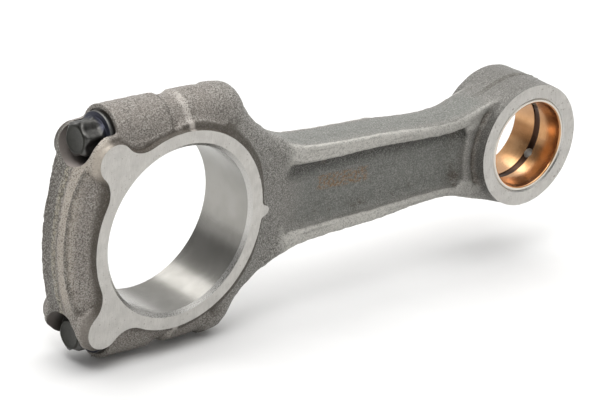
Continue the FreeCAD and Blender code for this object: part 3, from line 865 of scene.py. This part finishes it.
def bronze_material():
    """Fine-bored bronze with a painted dark band, painted shade in its upper part and a painted
    highlight low down, its oil groove stained dark.
    """
    n = Nodes("bronze")
    rings = n.noise(0.3, 2.0, 0.5, stretch=(0.03, 1.0, 0.03))
    cloud = n.noise(9.0, 3.0, 0.6)
    colour = n.mix(n.ramp(cloud, 0.3, 0.7), (0.52, 0.275, 0.122), (0.63, 0.36, 0.178))
    turn = n.math("ARCTAN2", n.z, n.math("SUBTRACT", n.x, CENTRES))
    far_side = n.ramp(n.y, -2.0, 4.0, 0.25, 1.0)
    # painted shade: a dark band on the wall, mostly on its far side
    painted_dark_band = n.product(n.window(turn, -0.52, -0.36, -0.10, 0.10), far_side)
    colour = n.mix(n.product(painted_dark_band, 0.75), colour, (0.20, 0.085, 0.030))
    # painted shade over the upper part of the bush
    upper = n.window(turn, 0.0, 0.3, 2.0, 2.6)
    colour = n.mix(n.product(upper, 0.45), colour, (0.26, 0.15, 0.085))
    # painted highlight low down in the bush
    low = n.window(turn, -2.4, -2.0, -1.2, -0.9)
    colour = n.mix(n.product(low, 0.5), colour, (0.80, 0.50, 0.30))
    depth = n.math("SUBTRACT", 2.6, n.math("ABSOLUTE", n.y))
    stain = n.mix(n.noise(2.0), (0.022, 0.010, 0.007), (0.042, 0.020, 0.013))
    colour = n.mix(n.product(n.ramp(depth, 0.0, 0.5), 0.97), colour, stain)
    rough = n.ramp(rings, 0.3, 0.7, 0.17, 0.25)
    return n.finish(colour, rough, 0.95, n.bump(rings, 0.02, 0.4))


def strip_material():
    """Edge of the bush's steel back."""
    n = Nodes("bush_steel")
    rings = n.noise(0.3, 2.0, 0.5)
    colour = n.mix(n.ramp(rings, 0.3, 0.7), (0.58, 0.54, 0.48), (0.68, 0.64, 0.58))
    return n.finish(colour, 0.34, 0.9, n.bump(rings, 0.02, 0.4))


def bolt_material():
    """Blackened bolt: oily, heat-blued round the flange, grey on its rim as a painted highlight."""
    n = Nodes("bolt_steel")
    grain = n.noise(0.8, 4.0, 0.6)
    patch = n.noise(4.0, 3.0, 0.55)
    x = n.math("SUBTRACT", n.x, n.ramp(n.z, 1.0, -1.0, 0.0, SUNK))
    colour = n.mix(n.ramp(patch, 0.3, 0.7), (0.050, 0.049, 0.047), (0.110, 0.108, 0.103))
    colour = n.mix(n.ramp(x, -59.4, -60.0), colour, (0.030, 0.030, 0.026))
    flange = n.window(x, -50.0, -48.0, -46.7, -46.2)
    colour = n.mix(n.product(flange, 0.8), colour, (0.035, 0.038, 0.060))
    # painted highlight: paler grey on the flange's rim
    rim = n.window(x, -46.7, -46.3, -44.4, -43.9)
    colour = n.mix(rim, colour, (0.165, 0.165, 0.16))
    rough = n.ramp(grain, 0.3, 0.7, 0.30, 0.5)
    return n.finish(colour, rough, 0.85, n.bump(grain, 0.06, 0.6))


# ---------------------------------------------------------------------- bolts

# rings of the bolt as (distance along X, radius, depth of the valleys between its
# lobes): head from its end, flange from its top, neck from the seat, the rest from 0
HEAD_RINGS = [
    (0.35, 0.01, 0), (0.35, 5.9, 0), (0.1, 6.6, 0), (0, 7.2, 0.05), (0.15, 7.8, 0.25),
    (0.9, 8.9, 0.8), (1.6, 9.8, 1.5), (2.2, 10.2, 1.9),
]
FLANGE_RINGS = [
    (-0.4, 10.3, 0), (0, 10.9, 0), (0.05, 12.3, 0), (0.35, 12.85, 0), (0.7, 12.98, 0),
    (2.0, 12.98, 0), (2.4, 12.7, 0),
]
NECK_RINGS = [
    (-0.1, 12.0, 0), (0, 11.8, 0), (0, 7.0, 0), (0.8, 6.5, 0), (2.0, 6.48, 0), (3.0, 5.7, 0),
]
SHANK_RINGS = [
    (-15.0, 5.6, 0), (-14.0, 6.48, 0), (-5.0, 6.48, 0), (-4.0, 5.6, 0), (5.5, 5.6, 0),
    (7.6, 5.8, 0),
]
TIP_RINGS = [(33.0, 5.2, 0), (33.0, 0.01, 0)]
HEAD_END, FLANGE_TOP, HEAD_RAD, HEAD_TURN = -60.2, -46.8, 10.2, 11.0
THREAD_RAD, THREAD_CORE, THREAD_PITCH, THREAD_DEPTH = 6.48, 5.8, 1.5, 0.46


def bolt_mesh(name, side):
    """Bolt as rings of points: six-lobed head, flange, waisted shank, thread."""
    around = 180
    theta = np.linspace(0, 2 * math.pi, around, endpoint=False)
    scallop = (0.5 - 0.5 * np.cos(6 * (theta + math.radians(HEAD_TURN)))) ** 0.8
    stations = []

    def add_rings(start, rings):
        for x, radius, valley in rings:
            stations.append((start + x, radius - valley * scallop))

    add_rings(HEAD_END, HEAD_RINGS)
    foot = FLANGE_TOP - 3.6
    add_rings(0.0, [(x, HEAD_RAD, 2.0) for x in np.arange(HEAD_END + 3.0, foot, 1.0)])
    for t in np.linspace(0, 1, 10):
        stations.append((foot + 2.9 * t, HEAD_RAD - 2.0 * np.clip(scallop - t * 1.05, 0, 1)))
    add_rings(FLANGE_TOP, FLANGE_RINGS)
    add_rings(SEAT_X, NECK_RINGS)
    add_rings(0.0, SHANK_RINGS)
    for x in np.arange(8.0, 32.9, 0.25):
        tooth = np.abs((x / THREAD_PITCH - theta / (2 * math.pi)) % 1.0 - 0.5) * 2.0
        run_in = rise(x, 8.0, 10.0) * fall(x, 31.0, 33.0)
        crest = THREAD_RAD - 1.2 * rise(x, 31.4, 33.0)
        base = THREAD_CORE + (crest - THREAD_CORE) * rise(x, 8.0, 9.0)
        cut = THREAD_DEPTH * 1.6 * run_in * np.clip(1.1 - 1.3 * tooth, 0, 1)
        stations.append((x, base - cut))
    add_rings(0.0, TIP_RINGS)

    sunk = 0.0 if side > 0 else SUNK
    vertices = []
    for x, radii in stations:
        ys, zs = radii * np.sin(theta), side * BOLT_Z + radii * np.cos(theta)
        vertices += [(float(x + sunk), float(y), float(z)) for y, z in zip(ys, zs)]
    last = (len(stations) - 1) * around
    faces = ring_faces(len(stations), around)
    faces += [tuple(range(around)), tuple(reversed(range(last, last + around)))]
    return mesh_object(name, vertices, faces)


# ----------------------------------------------------------------------- bush


def bush_piece(name, profile):
    """Ring of (radius, height) turned about the small end's axis, drilled for oil."""
    segments = 256
    vertices = []
    for radius, height in profile:
        for k in range(segments):
            a = 2 * math.pi * k / segments
            vertices.append((CENTRES + radius * math.cos(a), height, radius * math.sin(a)))
    obj = mesh_object(name, vertices, ring_faces(len(profile), segments, closed=True))
    for side in (-1, 1):
        combine(obj, oil_drill(side, slot=1))
    return obj


def bush_profiles():
    """Outlines of the lining, with its oil groove, and of the steel back."""
    half, inner, joint, outer = BUSH_FACE, BUSH_BORE, BUSH_JOINT, EYE_BORE
    groove = [(0.0, 2.35), (0.12, 2.2), (0.55, 1.7), (0.6, 1.2)]
    front = [(inner + depth, -reach) for depth, reach in groove]
    lining = [
        (joint, half), (joint, -half), (inner + 0.7, -half), (inner + 0.25, 0.35 - half),
        (inner, 0.9 - half), *front, *[(radius, -y) for radius, y in reversed(front)],
        (inner, half - 0.9), (inner + 0.25, half - 0.35), (inner + 0.7, half),
    ]
    back = [
        (outer, 0.5 - half), (outer - 0.5, -half), (joint, -half), (joint, half),
        (outer - 0.5, half), (outer, half - 0.5),
    ]
    return lining, back


# ---------------------------------------------------------------------- scene


def hand_over(obj, body, node):
    """Tells which body a piece rides on and which solid it stands for."""
    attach(obj, body)
    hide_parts(node)


def build():
    SKINS.extend([forged_material(), ground_material(), bored_material()])
    SKINS.extend([chamfer_material(), fracture_material(), drilled_material()])
    rod, hollows = machined_blank()
    tool = fracture_tool()
    cap = rod.copy()
    cap.data = rod.data.copy()
    cap.name = cap.data.name = "cap_forging"
    bpy.context.scene.collection.objects.link(cap)
    combine(cap, tool, "INTERSECT", keep_tool=True)
    rod.name = rod.data.name = "rod_forging"
    combine(rod, tool)
    for obj, body, node, slot in (
        (rod, "rod", "rod_body", "forged_steel"),
        (cap, "cap", "bearing_cap", "forged_steel_cap"),
    ):
        hollows.store(obj)
        finish_surface(obj)
        hand_over(obj, body, node)
    black = bolt_material()
    for side, word in ((1, "upper"), (-1, "lower")):
        bolt = bolt_mesh("bolt_" + word, side)
        finish_surface(bolt, black, 40.0)
        hand_over(bolt, "bolt_" + word, "cap_bolt_" + word)
    lining, back = bush_profiles()
    for name, profile, node, slot, skin in (
        ("bush_lining", lining, "bush_bronze_lining", "bush_bronze", bronze_material()),
        ("bush_back", back, "bush_steel_back", "bush_steel", strip_material()),
    ):
        bush = bush_piece(name, profile)
        finish_surface(bush, skin)
        hand_over(bush, "rod", node)


def floor_material():
    """Pale matt floor; it bounces less light than it shows, as a small table would."""
    n = Nodes("floor")
    cloud = n.noise(60.0, 2.0, 0.5)
    colour = n.mix(n.ramp(cloud, 0.3, 0.7), (0.90, 0.90, 0.90), (0.93, 0.93, 0.93))
    n.finish(colour, 0.9, 0.0)
    dim = n.node("BsdfDiffuse", {"Color": (0.42, 0.42, 0.41)})
    bounced = n.node("LightPath", {}).outputs["Is Diffuse Ray"]
    blend = n.node("MixShader", {0: bounced, 1: n.shader.outputs[0], 2: dim.outputs[0]})
    n.feed(n.out.inputs[0], blend.outputs[0])
    return n.material


def studio_world():
    """White room: a broad light overhead, bright behind, dim on the camera's side."""
    world = bpy.data.worlds.new("studio")
    bpy.context.scene.world = world
    world.use_nodes = True
    n = Graph(world.node_tree)
    way = n.node("TexCoord", {}).outputs["Generated"]
    height = n.node("SeparateXYZ", {0: way}).outputs["Z"]
    back = n.ramp(n.dot(way, (0.685, 0.728, 0.0)), -0.1, 0.7, 0.17, 0.80)
    top = n.ramp(height, 0.66, 0.90, 0.0, 2.0)
    strip = n.ramp(n.dot(way, (0.0, 0.675, 0.738)), 0.968, 0.988, 0.0, 1.7)
    low = n.ramp(height, 0.30, 0.12, 0.0, 0.5)
    light = n.math("ADD", n.math("ADD", n.math("ADD", back, top), strip), low)
    room = n.node("Background", {"Color": (1.0, 0.995, 0.985), "Strength": light})
    seen = n.node("Background", {"Color": (1.0, 1.0, 1.0)})
    direct = n.node("LightPath", {}).outputs["Is Camera Ray"]
    blend = n.node("MixShader", {0: direct, 1: room.outputs[0], 2: seen.outputs[0]})
    n.node("OutputWorld", {0: blend.outputs[0]})


def set_stage():
    reach = 4000
    corners = [(-reach, -reach, 0), (reach, -reach, 0), (reach, reach, 0), (-reach, reach, 0)]
    floor = mesh_object("floor", corners, [(0, 1, 2, 3)])
    floor.data.transform(Matrix.Translation((0, 0, FLOOR_Z * MM)))
    floor.data.materials.append(floor_material())
    studio_world()
    light = bpy.data.lights.new("key", "AREA")
    light.shape = "RECTANGLE"
    light.size, light.size_y = 0.45, 0.45
    light.energy = 4.5
    key = bpy.data.objects.new("key", light)
    key.location = (-0.65, -0.45, 1.15)
    aim = Vector((0.05, 0, 0)) - key.location
    key.rotation_euler = aim.to_track_quat("-Z", "Y").to_euler()
    bpy.context.scene.collection.objects.link(key)
    bpy.context.scene.view_settings.view_transform = "Standard"


def add_camera():
    data = bpy.data.cameras.new("camera")
    data.sensor_width, data.lens = 36.0, 178.27
    data.clip_start, data.clip_end = 0.05, 50.0
    camera = bpy.data.objects.new("camera", data)
    right = Vector((0.75054, -0.65422, 0.09325))
    down = Vector((-0.18356, -0.34194, -0.92162))
    forward = Vector((0.63482, 0.67459, -0.37673))
    turn = Matrix((right, -down, -forward)).transposed()
    place = Vector((-948.83, -1117.01, 613.86)) * MM
    camera.matrix_world = Matrix.Translation(place) @ turn.to_4x4()
    bpy.context.scene.collection.objects.link(camera)
    bpy.context.scene.camera = camera


build()
set_stage()
add_camera()
